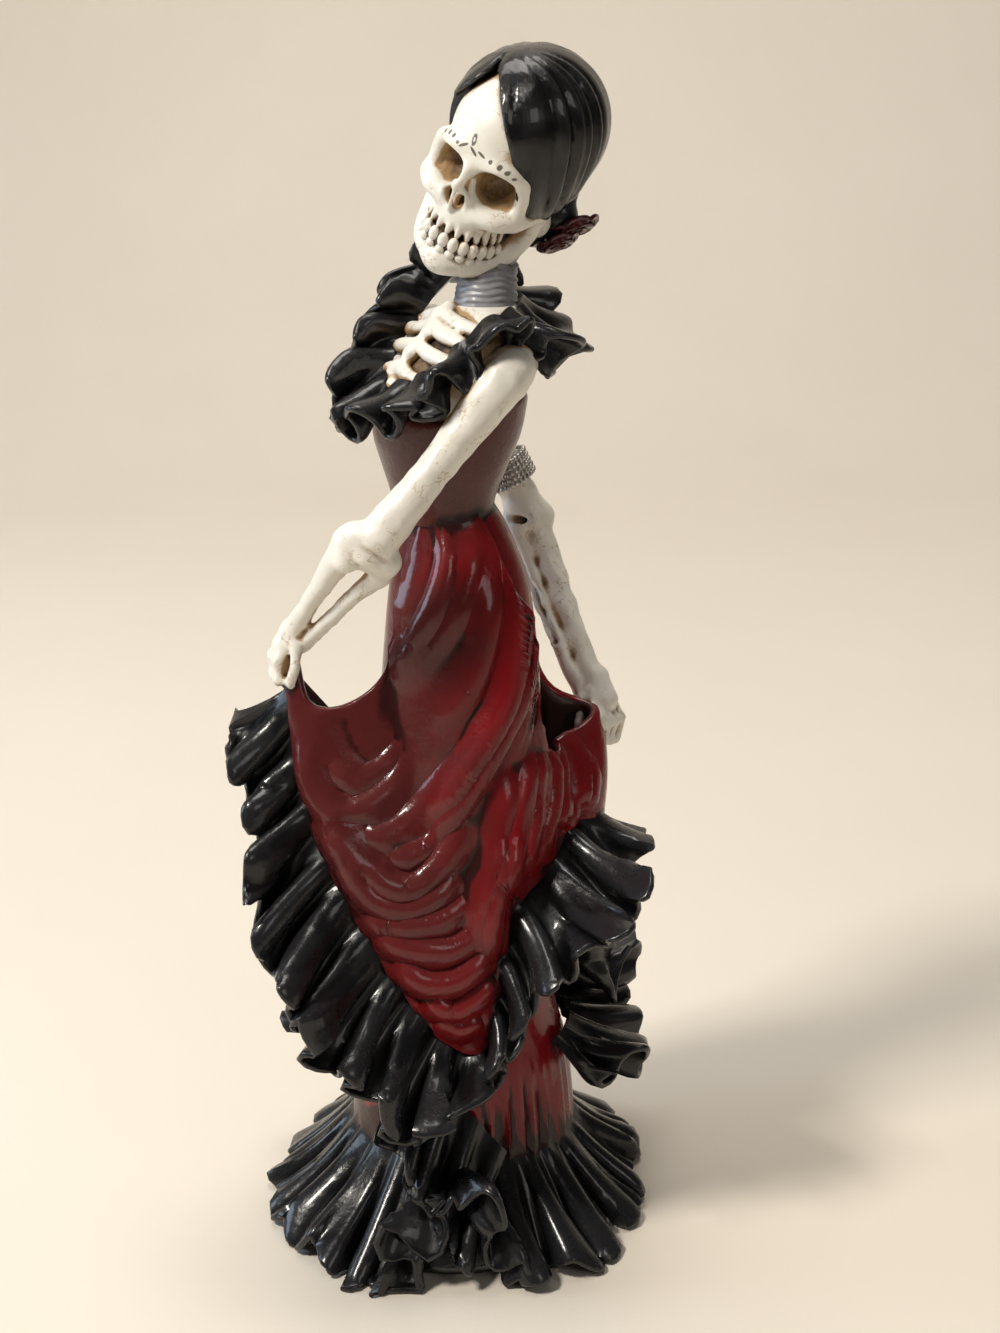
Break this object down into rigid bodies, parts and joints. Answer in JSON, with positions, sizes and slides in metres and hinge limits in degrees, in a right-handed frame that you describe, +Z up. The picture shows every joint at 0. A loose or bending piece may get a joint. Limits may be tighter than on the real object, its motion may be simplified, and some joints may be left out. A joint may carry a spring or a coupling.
{
  "type": "skeleton lady figurine",
  "caption": "Painted resin figurine of a skeleton lady holding out a ruffled flamenco dress, with combed hair and a rose, on a low oval base.",
  "frame": {"origin": "on the surface it stands on, under the middle of the base", "axes": "+Z up, -Y towards the viewer in front, +X to the viewer's right"},
  "size_m": [0.1054, 0.1035, 0.2988],
  "materials": {
    "painted_resin": "gloss paint in red, black and bone white",
    "silver_beads": "silvered beads"
  },
  "bodies": {
    "root": {"figure": "painted_resin", "bead_band": "silver_beads"}
  },
  "joints": []
}
